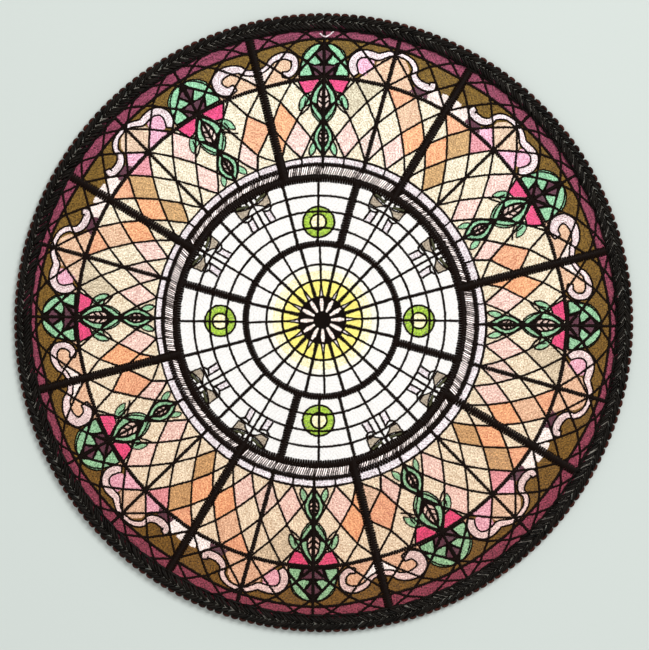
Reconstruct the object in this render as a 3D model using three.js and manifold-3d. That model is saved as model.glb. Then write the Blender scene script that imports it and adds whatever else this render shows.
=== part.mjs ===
// A round of embroidered cloth that pictures a leaded rose window, with a scalloped braid sewn round its rim.
// Millimetres, +Z up through the stitched face, origin at the centre of the underside.
import * as THREE from "three";
import { mergeVertices } from "three/addons/utils/BufferGeometryUtils.js";
import Module from "manifold-3d";

const wasm = await Module();
wasm.setup();

// Thickness of each layer, from the underside up
const clothThickness = 1.5;
const fillThickness = 0.5;
const outlineThickness = 0.5;
const braidThickness = 2.5;

// Bands of the window from its centre outwards, each from the middle of one black ring to the next
const hubRadius = 3.2;
const petalBand = 4.7;
const sunBand = 5.8;
const glowBand = 5.4;
const paleBand = 7.1;
const skylightBand = 23.0;
const silverBand = 3.9;
const whiteBand = 3.5;
const latticeBand = 27.1;
const scrollBand = 13.9;
const plumBand = 2.9;

// Widths of the black satin lines
const thinLine = 0.8;
const spokeLine = 1.1;
const borderLine = 0.9;
const latticeRingLine = 1.4;
const sunRingLine = 2.2;
const skylightRingLine = 3.2;
const skylightBarLine = 2.75;
const mainBarLine = 3.1;

// The braid, the cloth under it, and the clearance between pieces that lie side by side
const braidWidth = 5.5;
const scallopDepth = 0.7;
const clothUnderBraid = 3.0;
const sideGap = 0.3;
const leastBend = 0.02;

// How many times each thing repeats round the window
const bars = 8;
const spokes = 24;
const latticeFeet = 48;
const latticeRows = 4;
const scallops = 224;
const ringSides = 48;
const clothSides = 64;

// Where the hand at the hoop left the window and its centre, off the middle of the cloth and slightly turned
const windowCentre = new THREE.Vector2(-1.4, 0.5);
const windowTurn = -0.7;
const sunCentre = new THREE.Vector2(-0.5, 0.9);
const sunTurn = 1.9;

// Direction of the first main bar, and of the first thick bar of the skylight, anticlockwise from +X
const firstBar = 15;
const firstSkylightBar = 75;
const skylightBars = 4;

// Radii of the rings
const petalRing = hubRadius + petalBand;
const sunRing = petalRing + sunBand;
const glowRing = sunRing + glowBand;
const paleRing = glowRing + paleBand;
const skylightRing = paleRing + skylightBand;
const silverRing = skylightRing + silverBand;
const latticeFoot = silverRing + whiteBand;
const latticeHead = latticeFoot + latticeBand;
const borderRing = latticeHead + scrollBand;
const braidInside = borderRing + plumBand;
const braidTip = braidInside + braidWidth;

// Heights of the faces where the layers meet
const clothTop = clothThickness;
const fillTop = clothTop + fillThickness;
const outlineTop = fillTop + outlineThickness;
const braidTop = clothTop + braidThickness;

const threadBlack = new THREE.MeshStandardMaterial({ color: 0x1c1718, roughness: 0.55 });
const braidBlack = new THREE.MeshStandardMaterial({ color: 0x15120f, roughness: 0.8 });
const clothCream = new THREE.MeshStandardMaterial({ color: 0xe9e2d2, roughness: 0.95 });
const threadWhite = new THREE.MeshStandardMaterial({ color: 0xf6f3ea, roughness: 0.6 });
const threadSilver = new THREE.MeshStandardMaterial({ color: 0xc8c2c2, roughness: 0.4 });
const threadCream = new THREE.MeshStandardMaterial({ color: 0xe8cfa6, roughness: 0.6 });
const threadOlive = new THREE.MeshStandardMaterial({ color: 0x80631f, roughness: 0.6 });

// A point at a radius and an angle in degrees about the origin.
function polar(radius, degrees) {
  const angle = THREE.MathUtils.degToRad(degrees);
  return new THREE.Vector2(radius * Math.cos(angle), radius * Math.sin(angle));
}

// The full circle as a closed path.
function circle(radius, centre = new THREE.Vector2()) {
  return new THREE.Shape().absarc(centre.x, centre.y, radius, 0, 2 * Math.PI);
}

// A disc with a round hole. The two circles may have centres of their own.
function washer(outer, inner, outerCentre, innerCentre = outerCentre) {
  const shape = circle(outer, outerCentre);
  shape.holes.push(circle(inner, innerCentre));
  return shape;
}

function ringLine(radius, width) {
  return washer(radius + width / 2, radius - width / 2);
}

// The outline of a line of even width along a run of points, with mitred bends and square ends.
function strip(points, width) {
  const left = [];
  const right = [];
  points.forEach((point, i) => {
    const before = points[Math.max(i - 1, 0)];
    const after = points[Math.min(i + 1, points.length - 1)];
    const arriving = (i > 0 ? point.clone().sub(before) : after.clone().sub(point)).normalize();
    const leaving = (i < points.length - 1 ? after.clone().sub(point) : arriving.clone()).normalize();
    const along = arriving.clone().add(leaving).normalize();
    const reach = width / 2 / along.dot(arriving);
    const across = new THREE.Vector2(-along.y, along.x).multiplyScalar(reach);
    left.push(point.clone().add(across));
    right.unshift(point.clone().sub(across));
  });
  return new THREE.Shape([...left, ...right]);
}

function spoke(from, to, degrees, width) {
  return strip([polar(from, degrees), polar(to, degrees)], width);
}

// A flat piece of one outline. Both faces take their height as given, so pieces stacked on each other meet exactly.
function slab(outline, bottom, top, sides = ringSides) {
  const geometry = new THREE.ExtrudeGeometry(outline, { depth: 1, bevelEnabled: false, curveSegments: sides / 2 });
  const position = geometry.getAttribute("position");
  for (let i = 0; i < position.count; i++) {
    position.setZ(i, position.getZ(i) > 0.5 ? top : bottom);
  }
  return geometry;
}

function solidOf(geometry) {
  const bare = geometry.clone();
  bare.deleteAttribute("normal");
  bare.deleteAttribute("uv");
  const merged = mergeVertices(bare, 1e-4);
  return new wasm.Manifold(
    new wasm.Mesh({
      numProp: 3,
      vertProperties: new Float32Array(merged.getAttribute("position").array),
      triVerts: new Uint32Array(merged.index.array),
    }),
  );
}

// How far a point lies from the straight line between its two neighbours.
function offLine(point, before, after) {
  const along = after.clone().sub(before).normalize();
  return Math.abs(along.cross(point.clone().sub(before)));
}

// The edges round a flat body's upper face as one shape: the outer edge, and a hole for each opening.
function upperOutline(solid) {
  const { vertProperties, triVerts } = solid.getMesh();
  const next = new Map();
  for (let t = 0; t < triVerts.length; t += 3) {
    const corners = triVerts.subarray(t, t + 3);
    if (!corners.every((v) => Math.abs(vertProperties[3 * v + 2] - outlineTop) < 1e-4)) continue;
    corners.forEach((v, i) => next.set(`${v} ${corners[(i + 1) % 3]}`, [v, corners[(i + 1) % 3]]));
  }
  const edges = new Map([...next.values()].filter(([a, b]) => !next.has(`${b} ${a}`)));
  const loops = [];
  while (edges.size) {
    const loop = [];
    for (let v = edges.keys().next().value; edges.has(v); ) {
      loop.push(new THREE.Vector2(vertProperties[3 * v], vertProperties[3 * v + 1]));
      const following = edges.get(v);
      edges.delete(v);
      v = following;
    }
    loops.push(loop.filter((point, i) => offLine(point, loop.at(i - 1), loop[(i + 1) % loop.length]) > leastBend));
  }
  const outer = loops.findIndex((loop) => THREE.ShapeUtils.area(loop) > 0);
  const shape = new THREE.Shape(loops[outer]);
  shape.holes = loops.filter((_, i) => i !== outer).map((loop) => new THREE.Path(loop));
  return shape;
}

// Joins outlines into one flat body, turned and moved to where the window lies.
function lineWork(outlines, centre, turn) {
  const placed = outlines.map((outline) => {
    const geometry = slab(outline, fillTop, outlineTop);
    geometry.rotateZ(THREE.MathUtils.degToRad(turn));
    geometry.translate(centre.x, centre.y, 0);
    return solidOf(geometry);
  });
  return placed.reduce((whole, piece) => whole.add(piece));
}

// Evenly spaced directions in degrees, from the first one round.
function directions(count, first) {
  return Array.from({ length: count }, (_, i) => first + (360 / count) * i);
}

// The sun at the centre: a hub and its spokes inside a heavy ring.
function sunLines() {
  const step = 360 / spokes;
  const outlines = [circle(hubRadius), ringLine(paleRing, sunRingLine)];
  for (const degrees of directions(spokes / 2, step)) {
    outlines.push(spoke(hubRadius / 2, paleRing, degrees, spokeLine));
    outlines.push(spoke(hubRadius / 2, paleRing, degrees + step, thinLine));
  }
  return outlines;
}

// The white skylight round the sun: a thick ring outside and straight spokes, four of them as broad as bars.
function skylightLines() {
  const broad = directions(skylightBars, firstSkylightBar);
  const outlines = [ringLine(skylightRing, skylightRingLine)];
  for (const degrees of directions(spokes, 0)) {
    outlines.push(spoke(paleRing, skylightRing, degrees, broad.includes(degrees) ? skylightBarLine : thinLine));
  }
  return outlines;
}

// The lattice: lines that climb from each foot to both sides, and cross halfway between the feet in every other row.
function latticeLines() {
  const stepAngle = 360 / latticeFeet / 2;
  const stepRadius = latticeBand / latticeRows;
  const outlines = [ringLine(latticeFoot, thinLine), ringLine(latticeHead, latticeRingLine)];
  for (const foot of directions(latticeFeet, 0)) {
    for (const side of [-1, 1]) {
      const climb = Array.from({ length: latticeRows + 1 }, (_, row) =>
        polar(latticeFoot + row * stepRadius, foot + side * row * stepAngle),
      );
      outlines.push(strip(climb, thinLine));
    }
  }
  return outlines;
}

// The border ring, and the bars that run from the skylight to the braid.
function barLines() {
  const outlines = [ringLine(borderRing, borderLine)];
  const reach = braidInside + windowCentre.length();
  for (const degrees of directions(bars, firstBar)) {
    outlines.push(spoke(skylightRing, reach, degrees, mainBarLine));
  }
  return outlines;
}

// All the black satin outlines are one connected net, trimmed where the braid starts.
function blackNet() {
  const sun = lineWork(sunLines(), sunCentre, sunTurn);
  const window = lineWork([...skylightLines(), ...latticeLines(), ...barLines()], windowCentre, windowTurn);
  const inside = solidOf(slab(circle(braidInside - sideGap), fillTop - 1, outlineTop + 1, clothSides));
  return slab(upperOutline(sun.add(window).intersect(inside)), fillTop, outlineTop);
}

// The braid: a flat ring whose outer edge runs in small scallops.
function braidOutline() {
  const edge = [];
  for (let i = 0; i < 2 * scallops; i++) {
    edge.push(polar(i % 2 ? braidTip - scallopDepth : braidTip, (180 / scallops) * i));
  }
  const shape = new THREE.Shape(edge);
  shape.holes.push(circle(braidInside));
  return shape;
}

const roundel = new THREE.Group();
roundel.name = "embroidered_roundel";

function add(name, geometry, material) {
  const mesh = new THREE.Mesh(geometry, material);
  mesh.name = name;
  roundel.add(mesh);
}

// A stitched band of the window between two of its rings, with half the side gap left at each of them.
function band(outer, inner) {
  return slab(washer(outer - sideGap / 2, inner + sideGap / 2, windowCentre), clothTop, fillTop);
}

const clothRadius = braidInside + clothUnderBraid;
const borderOutline = washer(braidInside - sideGap, latticeHead + sideGap / 2, new THREE.Vector2(), windowCentre);

add("ground_cloth", slab(circle(clothRadius), 0, clothTop, clothSides), clothCream);
add("skylight_stitching", slab(circle(skylightRing - sideGap / 2, windowCentre), clothTop, fillTop), threadWhite);
add("silver_band_stitching", band(silverRing, skylightRing), threadSilver);
add("lattice_stitching", band(latticeHead, silverRing), threadCream);
add("border_stitching", slab(borderOutline, clothTop, fillTop), threadOlive);
add("black_outline_stitching", blackNet(), threadBlack);
add("braid_edging", slab(braidOutline(), clothTop, braidTop), braidBlack);

export default roundel;
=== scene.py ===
# %% [markdown]
# # An embroidered rose window
# The object is a round of cloth, 212 mm across, that pictures a leaded rose window in thread.
# Nothing on it is glass: each pane is rows of coloured thread, each lead line is black satin stitch,
# and a black scalloped braid hides the cut edge. This lesson builds it stitch by stitch.

# %% Load the frame
import math

import bpy
import mathutils
import numpy as np
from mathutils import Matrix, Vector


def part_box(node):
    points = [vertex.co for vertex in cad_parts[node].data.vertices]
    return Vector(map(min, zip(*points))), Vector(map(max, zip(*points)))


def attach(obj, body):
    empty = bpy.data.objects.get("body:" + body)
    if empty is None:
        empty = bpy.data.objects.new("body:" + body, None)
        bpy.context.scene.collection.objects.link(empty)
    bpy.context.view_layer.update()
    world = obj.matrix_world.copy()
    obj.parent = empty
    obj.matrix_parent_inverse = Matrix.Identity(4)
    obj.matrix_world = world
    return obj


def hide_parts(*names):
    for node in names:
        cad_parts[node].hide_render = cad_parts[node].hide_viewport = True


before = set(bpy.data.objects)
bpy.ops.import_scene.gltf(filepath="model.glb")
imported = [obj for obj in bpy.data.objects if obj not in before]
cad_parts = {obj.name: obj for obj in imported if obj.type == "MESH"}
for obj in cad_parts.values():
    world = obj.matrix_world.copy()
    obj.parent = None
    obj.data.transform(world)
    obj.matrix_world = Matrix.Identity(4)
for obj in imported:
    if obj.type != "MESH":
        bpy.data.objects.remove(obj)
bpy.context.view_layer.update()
print("The frame holds", sorted(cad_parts))

# %% [markdown]
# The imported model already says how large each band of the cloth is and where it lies.
# Sizes could be typed in again, but then the two models would drift apart when one changes.
# So every band is read from its node's box, and only the finer things inside a band get values here.
# All lengths in this file are millimetres, turned into metres when a mesh is made.

# %% Sizes of the bands
MM = 0.001
SIDE_GAP = 0.3


def half_width(node):
    """Half of a node's width, in millimetres."""
    low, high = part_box(node)
    return (high.x - low.x) / 2 / MM


def middle(node):
    """The middle of a node, seen from above, in millimetres."""
    low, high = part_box(node)
    return np.array([(low.x + high.x) / 2, (low.y + high.y) / 2]) / MM


def top(node):
    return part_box(node)[1].z / MM


skylight_ring = half_width("skylight_stitching") + SIDE_GAP / 2
silver_ring = half_width("silver_band_stitching") + SIDE_GAP / 2
lattice_head = half_width("lattice_stitching") + SIDE_GAP / 2
braid_inside = half_width("border_stitching") + SIDE_GAP
braid_tip = half_width("braid_edging")
cloth_radius = half_width("ground_cloth")
cloth_top = top("ground_cloth")
fill_top = top("lattice_stitching")
outline_top = top("black_outline_stitching")
ring_radii = (skylight_ring, silver_ring, lattice_head, braid_inside, braid_tip)
print("Rings at", [round(radius, 1) for radius in ring_radii])

# %% [markdown]
# The window was stitched in several hoopings, which nobody lines up perfectly.
# Its outer part sits a little left of the cloth's middle, and the sun a little right of that.
# Dense stitching also pulls the cloth, so each axis stands up to two millimetres off its true place.
# Drawing everything true and then moving it keeps the drawing simple, so each part of the picture
# has a function that carries its points to where they really lie.

# %% Where the window and the sun lie
WINDOW_TURN = -0.7
SUN_TURN = 1.9
SUN_CENTRE = np.array([-0.5, 0.9])
AXIS_STEP = 15
SKYLIGHT_ASIDE = (0.6, 0.4, 0.1, 0.15, -0.4, 0.1)
SKYLIGHT_ASIDE_WAVES = (0.1, 0.35, 0, -0.15)
LATTICE_ASIDE = (-0.6, -0.85, 0.95, 0.65, 0.05, -0.3)
LATTICE_ASIDE_WAVES = (0, 0.35, 0.2, -0.6)
LATTICE_OUT = (0.15, -0.9, -0.75, -0.55, -0.05, 0.1)
LATTICE_OUT_WAVES = (0.7, -0.35, 0.1, 0.15)
PULL_STARTS, PULL_FULL = 53.0, 60.0
window_centre = middle("skylight_stitching")


def polar(radius, degrees):
    """Points at a radius and an angle, either of which may be an array."""
    angle = np.radians(degrees)
    return np.stack([radius * np.cos(angle), radius * np.sin(angle)], axis=-1)


def turned(points, degrees):
    c, s = math.cos(math.radians(degrees)), math.sin(math.radians(degrees))
    return np.asarray(points, float) @ np.array([[c, s], [-s, c]])


def on_axes(degrees, values):
    """Values given at the six axes of a quarter, joined by curves that are flat at each axis."""
    share = degrees % 90 / AXIS_STEP
    axis = np.floor(share).astype(int)
    blend = share - axis
    blend = blend * blend * (3 - 2 * blend)
    looped = np.append(values, values[0])
    return looped[axis] * (1 - blend) + looped[axis + 1] * blend


def waves(degrees, cosine, sine, double_cosine, double_sine):
    """A smooth pull round the whole cloth, in millimetres."""
    a = np.radians(degrees)
    once = cosine * np.cos(a) + sine * np.sin(a)
    return once + double_cosine * np.cos(2 * a) + double_sine * np.sin(2 * a)


def radius_and_degrees(points):
    points = np.asarray(points, float)
    angle = np.arctan2(points[..., 1], points[..., 0])
    return np.linalg.norm(points, axis=-1), np.degrees(angle) % 360


def pulled(radius, degrees, aside, out=0.0):
    """Where a point lies once the stitching has pulled it aside and outwards."""
    moved = polar(radius + out, degrees + np.degrees(aside / radius))
    return turned(moved, WINDOW_TURN) + window_centre


def in_skylight(points):
    radius, degrees = radius_and_degrees(points)
    aside = on_axes(degrees, SKYLIGHT_ASIDE) + waves(degrees, *SKYLIGHT_ASIDE_WAVES)
    return pulled(radius, degrees, aside)


def in_window(points):
    radius, degrees = radius_and_degrees(points)
    aside = on_axes(degrees, LATTICE_ASIDE) + waves(degrees, *LATTICE_ASIDE_WAVES)
    out = on_axes(degrees, LATTICE_OUT) + waves(degrees, *LATTICE_OUT_WAVES)
    out *= np.clip((radius - PULL_STARTS) / (PULL_FULL - PULL_STARTS), 0, 1)
    return pulled(radius, degrees, aside, out)


def in_sun(points):
    return turned(points, SUN_TURN) + SUN_CENTRE


# %% [markdown]
# A stitch is a short piece of thread that rises out of the cloth, runs flat and dives in again.
# It could be a tube, but tens of thousands of tubes would be far too heavy.
# A ribbon three points wide, with its middle higher than its edges, looks the same from above.
# The function below lays many stitches of one thread at once, with numpy in place of a loop.

# %% Stitches as ribbons
THREAD_WIDTH = 0.46
THREAD_DROP = 0.1
UNEVEN_CROWN = 0.018
TINY = 1e-9
LONG_STATIONS = (0.0, 0.2, 0.8, 1.0)
SHORT_STATIONS = (0.0, 0.5, 1.0)
rng = np.random.default_rng(7)
sewn = {}


def sew(thread, starts, ends, base, crown, stations=LONG_STATIONS, width=THREAD_WIDTH):
    """Adds stitches to a thread. base and crown are the heights of a stitch's ends and middle."""
    starts, ends = np.asarray(starts, float), np.asarray(ends, float)
    run = ends - starts
    length = np.maximum(np.linalg.norm(run, axis=1), TINY)
    across = np.stack([-run[:, 1], run[:, 0]], axis=1) / length[:, None]
    share = np.array(stations)
    rise = np.array([0.0] + [1.0] * (len(share) - 2) + [0.0])
    count = len(starts)
    crown = crown + rng.normal(0, UNEVEN_CROWN, count)
    centre = starts[:, None] + run[:, None] * share[None, :, None]
    height = base + (crown - base)[:, None] * rise[None]
    side = np.array([-1.0, 0.0, 1.0])
    flat = centre[:, :, None] + across[:, None, None] * side[None, None, :, None] * width / 2
    z = height[:, :, None] - THREAD_DROP * np.abs(side)[None, None]
    points = np.concatenate([flat, z[..., None]], axis=-1)
    tone = np.broadcast_to(rng.random(count)[:, None, None], z.shape)
    dip = np.broadcast_to((1 - rise)[None, :, None], z.shape)
    along = np.broadcast_to((share[None] * length[:, None])[:, :, None], z.shape)
    edge = np.broadcast_to(side[None, None], z.shape)
    sewn.setdefault(thread, []).append((points, tone, dip, along, edge))


# %% [markdown]
# A real stitch has no mesh, of course, so each thread's ribbons are joined into one.
# Making them point by point would be slow, so the numbers are handed to Blender in whole arrays.
# Each point also keeps a tone and a dip, which the thread's material reads later,
# and the second map runs along and across the thread, so that a twist can follow it.

# %% From ribbons to a mesh
BAKE_SPAN = 220.0


def stitched_mesh(name, batches):
    """One mesh out of everything that was sewn with a thread."""
    points, faces, values, first = [], [], [], 0
    for batch, *more in batches:
        count, rows, columns = batch.shape[:3]
        index = first + np.arange(count * rows * columns).reshape(count, rows, columns)
        quads = [index[:, :-1, :-1], index[:, 1:, :-1], index[:, 1:, 1:], index[:, :-1, 1:]]
        faces.append(np.stack(quads, axis=-1).reshape(-1, 4))
        points.append(batch.reshape(-1, 3))
        values.append(np.stack([value.reshape(-1) for value in more], axis=1))
        first += count * rows * columns
    tone, dip, along, edge = np.concatenate(values).T
    thread_map = np.stack([along, edge], axis=1)
    return mesh_of(name, np.concatenate(points), np.concatenate(faces), tone, thread_map, dip)


def mesh_of(name, points, faces, tones, thread_map, dips=None):
    """A smooth mesh of quads in metres. A dip is 1 where the thread dives into the cloth."""
    mesh = bpy.data.meshes.new(name)
    corners = faces.ravel()
    mesh.vertices.add(len(points))
    mesh.vertices.foreach_set("co", (points * MM).astype(np.float32).ravel())
    mesh.loops.add(len(corners))
    mesh.loops.foreach_set("vertex_index", corners.astype(np.int32))
    mesh.polygons.add(len(faces))
    mesh.polygons.foreach_set("loop_start", np.arange(0, len(corners), 4, dtype=np.int32))
    mesh.update(calc_edges=True)
    mesh.polygons.foreach_set("use_smooth", np.ones(len(faces), bool))
    if dips is None:
        dips = np.zeros(len(points))
    for label, values in (("tone", tones), ("dip", dips)):
        attribute = mesh.attributes.new(label, "FLOAT", "POINT")
        attribute.data.foreach_set("value", values.astype(np.float32))
    bake_map = points[:, :2] / BAKE_SPAN + 0.5
    for label, values in (("OFBake", bake_map), ("thread", thread_map)):
        layer = mesh.uv_layers.new(name=label)
        layer.data.foreach_set("uv", values[corners].astype(np.float32).ravel())
    made = bpy.data.objects.new(name, mesh)
    bpy.context.scene.collection.objects.link(made)
    return made


# %% [markdown]
# A pane is filled the way a machine does it: straight rows of thread, 0.4 mm apart, all at one angle.
# Each row is broken into stitches, and the breaks are staggered from row to row so that they make
# no line. The rows come from a scan across the pane's outline, as in a polygon fill.
# Where a leaf or a scroll lies over the pane, its outline is cut out of each row,
# because a real digitised design doesn't stitch the same place twice.

# %% Rows of fill stitches
ROW_PITCH = 0.4
FILL_STITCH = 1.9
FILL_BASE = 1.84
FILL_CROWN = fill_top - 0.03
UNEVEN_BREAK = 0.16
LEAST_STITCH = 0.3
LEAST_END = 0.35
SEAM_OVERLAP = 0.12
PAST_CORNERS = 1e-5
regions = []


def fill(thread, outline, angle, level=0, place=in_window):
    """Plans a filled shape. A shape of a higher level is cut out of those below it."""
    regions.append({"thread": thread, "outline": np.asarray(outline, float), "angle": angle,
                    "level": level, "place": place})


def row_spans(outline, y):
    """The stretches of the line at height y that lie inside an outline."""
    a, b = outline, np.roll(outline, -1, axis=0)
    crossed = (a[:, 1] <= y) != (b[:, 1] <= y)
    a, b = a[crossed], b[crossed]
    x = np.sort(a[:, 0] + (y - a[:, 1]) / (b[:, 1] - a[:, 1]) * (b[:, 0] - a[:, 0]))
    return list(zip(x[0::2], x[1::2]))


def without(spans, cuts):
    for low, high in cuts:
        pieces = [p for a, b in spans for p in ((a, min(b, low)), (max(a, high), b))]
        spans = [(a, b) for a, b in pieces if b - a > LEAST_STITCH]
    return spans


def broken(low, high, offset):
    """Where a row from low to high goes down into the cloth, never too near to its ends."""
    first = math.ceil((low - offset) / FILL_STITCH + LEAST_END)
    last = math.floor((high - offset) / FILL_STITCH - LEAST_END)
    return [low, *(offset + FILL_STITCH * k for k in range(first, last + 1)), high]


def sew_region(region, cutters):
    angle = region["angle"]
    outline = turned(region["outline"], -angle)
    cuts = [turned(c["outline"], -angle) for c in cutters]
    starts, ends = [], []
    first = math.ceil(outline[:, 1].min() / ROW_PITCH)
    last = math.floor(outline[:, 1].max() / ROW_PITCH)
    for row in range(first, last + 1):
        y = row * ROW_PITCH + PAST_CORNERS
        spans = row_spans(outline, y)
        for cut in cuts:
            if cut[:, 1].min() < y < cut[:, 1].max():
                spans = without(spans, row_spans(cut, y))
        offset = FILL_STITCH * ((row % 3) / 3 + rng.uniform(-UNEVEN_BREAK, UNEVEN_BREAK))
        for low, high in spans:
            stops = broken(low, high, offset)
            starts += [(a - SEAM_OVERLAP, y) for a in stops[:-1]]
            ends += [(b + SEAM_OVERLAP, y) for b in stops[1:]]
    if starts:
        place = region["place"]
        a, b = place(turned(starts, angle)), place(turned(ends, angle))
        sew(region["thread"], a, b, FILL_BASE, FILL_CROWN, SHORT_STATIONS)


def overlaps(a, b):
    low_a, high_a = a["outline"].min(0), a["outline"].max(0)
    low_b, high_b = b["outline"].min(0), b["outline"].max(0)
    return bool((low_a < high_b).all() and (low_b < high_a).all())


# %% [markdown]
# The leads are satin stitch: a dense zigzag whose threads all lie across the line.
# A flat black strip would give the line's shape, but not its glint or its slightly ragged edge.
# The function walks along a path, drops one stitch across it every 0.42 mm, and lets each
# stitch end a few hundredths of a millimetre early or late.

# %% Satin stitch along a path
SATIN_PITCH = 0.42
SATIN_BASE = 2.02
SATIN_SLANT = 0.5
RAGGED = 0.06
THIN_CROWN = 2.38
BROAD_WIDTH, BROAD_CROWN = 1.6, outline_top - 0.05
ALL_ROUND = np.arange(0, 360, 2.0)


def walk(path, pitch, closed=False):
    """Evenly spaced points along a path, the direction at each, and how far along it each lies."""
    path = np.asarray(path, float)
    if closed:
        path = np.concatenate([path, path[:1]])
    step = np.linalg.norm(np.diff(path, axis=0), axis=1)
    reach = np.concatenate([[0], np.cumsum(step)])
    count = max(int(round(reach[-1] / pitch)), 2)
    at = (np.arange(count) + 0.5) / count * reach[-1]
    points = np.stack([np.interp(at, reach, path[:, k]) for k in (0, 1)], axis=1)
    which = np.clip(np.searchsorted(reach, at) - 1, 0, len(step) - 1)
    direction = np.diff(path, axis=0)[which] / np.maximum(step[which], TINY)[:, None]
    return points, direction, at / reach[-1]


def satin(thread, path, width, place=in_window, closed=False, crown=None, base=SATIN_BASE,
          pitch=SATIN_PITCH, slant=SATIN_SLANT, zigzag=True, strand=THREAD_WIDTH):
    """Stitches across a path. width is a number, or several, spread evenly from end to end."""
    points, direction, share = walk(path, pitch, closed)
    widths = np.atleast_1d(np.asarray(width, float))
    wide = np.interp(share, np.linspace(0, 1, len(widths)), widths)
    left = np.stack([-direction[:, 1], direction[:, 0]], axis=1)
    lean = direction * pitch * slant / 2
    if zigzag:
        lean *= np.where(np.arange(len(points)) % 2, 1, -1)[:, None]
    reach = wide[:, None] / 2 + rng.normal(0, RAGGED, (len(points), 2))
    a = points + left * reach[:, :1] + lean
    b = points - left * reach[:, 1:] - lean
    broad = wide.max() > BROAD_WIDTH
    if crown is None:
        crown = BROAD_CROWN if broad else THIN_CROWN
    stations = LONG_STATIONS if broad else SHORT_STATIONS
    sew(thread, place(a), place(b), base, crown, stations, strand)


def ring(thread, radius, width, place=in_window, **more):
    satin(thread, polar(radius, ALL_ROUND), width, place, closed=True, **more)


def spoke(thread, inner, outer, degrees, width, place=in_window, **more):
    satin(thread, [polar(inner, degrees), polar(outer, degrees)], width, place, **more)


# %% [markdown]
# Most shapes have curved edges. Listing dozens of points would be hard to read or change,
# so an outline is given by its corners only, each with how far the stretch to the next one bows out.

# %% Curved outlines
CURVE_STEPS = 8


def curved(corners, closed=True):
    """Points along an outline of corners (x, y, bow). It bows to the left on the way to the next."""
    points = []
    last = len(corners) if closed else len(corners) - 1
    for k in range(last):
        x, y, bow = corners[k]
        a, b = np.array([x, y]), np.array(corners[(k + 1) % len(corners)][:2])
        steps = CURVE_STEPS if bow else 1
        share = np.arange(steps)[:, None] / steps
        left = np.array([a[1] - b[1], b[0] - a[0]]) / max(np.linalg.norm(b - a), TINY)
        points.append(a + (b - a) * share + left * 4 * bow * share * (1 - share))
    if not closed:
        points.append(np.array([corners[-1][:2]], float))
    return np.concatenate(points)


def arc(radius, start, end, step=1.5):
    count = max(int(abs(end - start) / step) + 1, 2)
    return polar(radius, np.linspace(start, end, count))


def sector(inner, outer, start, end):
    return np.concatenate([arc(outer, start, end), arc(inner, end, start)])


def on_axis(degrees, side=1):
    """Carries (across, outwards) to the window's drawing, along an axis. side -1 mirrors it."""
    c, s = math.cos(math.radians(degrees)), math.sin(math.radians(degrees))

    def carry(points):
        points = np.asarray(points, float)
        across, out = points[..., 0] * side, points[..., 1]
        return np.stack([out * c - across * s, out * s + across * c], axis=-1)
    return carry


# %% [markdown]
# The sun at the centre has a black hub with twelve white petals, a pale ray beyond each, and bands
# that fade from yellow to white. Each band is filled sector by sector, with its rows
# turned a little further each time, so the thread catches the light differently as on the real cloth.

# %% The sun
PETAL_RING, SUN_RING, GLOW_RING, PALE_RING = 7.9, 13.7, 19.1, 26.2
FADE_RADIUS = 16.9
STAR_TIP, STAR_HALF_ANGLE = 12.7, 4.8
PETAL = ((3.2, 6.5), (5.9, 6.6), (7.6, 2.6))
SUN_LINE, SUN_SPOKE, SUN_EDGE = 0.8, 1.1, 2.3
STAR_LINE = 0.5
SPOKE_ROOT, SPOKE_ROOT_WIDTHS = 12.0, (1.4, 1.3, 1.1)
PART = 30
SUN_BANDS = (
    ("yellow", PETAL_RING, SUN_RING, 20),
    ("pale_yellow", SUN_RING, FADE_RADIUS, 35),
    ("warm_white", FADE_RADIUS, GLOW_RING, 35),
    ("white", GLOW_RING, PALE_RING, 50),
)

for start in range(0, 360, PART):
    for thread, inner, outer, lean in SUN_BANDS:
        fill(thread, sector(inner, outer, start, start + PART), start + lean, place=in_sun)
    between = start + PART // 2
    spoke("black_sun", PETAL_RING, SPOKE_ROOT, between, SPOKE_ROOT_WIDTHS, in_sun)
    spoke("black_sun", SPOKE_ROOT, PALE_RING, between, SUN_SPOKE, in_sun)
    spoke("black_sun", STAR_TIP, PALE_RING, start, SUN_LINE, in_sun)
    ray = [polar(PETAL_RING, start - STAR_HALF_ANGLE), polar(STAR_TIP, start),
           polar(PETAL_RING, start + STAR_HALF_ANGLE)]
    fill("rose_white", ray, start + 15, level=1, place=in_sun)
    satin("black_sun", ray, STAR_LINE, in_sun)
    petal = [polar(radius, start - half) for radius, half in PETAL]
    petal += [polar(radius, start + half) for radius, half in reversed(PETAL)]
    fill("petal", petal, start + 80, level=3, place=in_sun)
fill("black_sun", arc(PETAL_RING, 0, 350, 10), 45, level=2, place=in_sun)
for radius in (PETAL_RING, SUN_RING, GLOW_RING):
    ring("black_sun", radius, SUN_LINE, in_sun)
ring("black_sun", PALE_RING, SUN_EDGE, in_sun)

# %% [markdown]
# Round the sun lies the white skylight: straight glazing bars, three thin rings, four bars nearly
# as broad as the outer ones, and a thick ring that closes it.
# The white field is filled in twelve parts, with the coloured shapes on it cut out of them.
# One large part would be less to write, but the real rows change their direction at each quarter.

# %% The skylight
SKYLIGHT_RINGS = (32.0, 37.6, 43.0)
SKYLIGHT_LINE = 0.8
SKYLIGHT_EDGE = 3.2
SKYLIGHT_SPOKES = {0: 0.85, 15: 1.15, 30: 0.8, 45: 1.15, 60: 0.85, 75: 2.75}
FIELD_LEAN = 10

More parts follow.
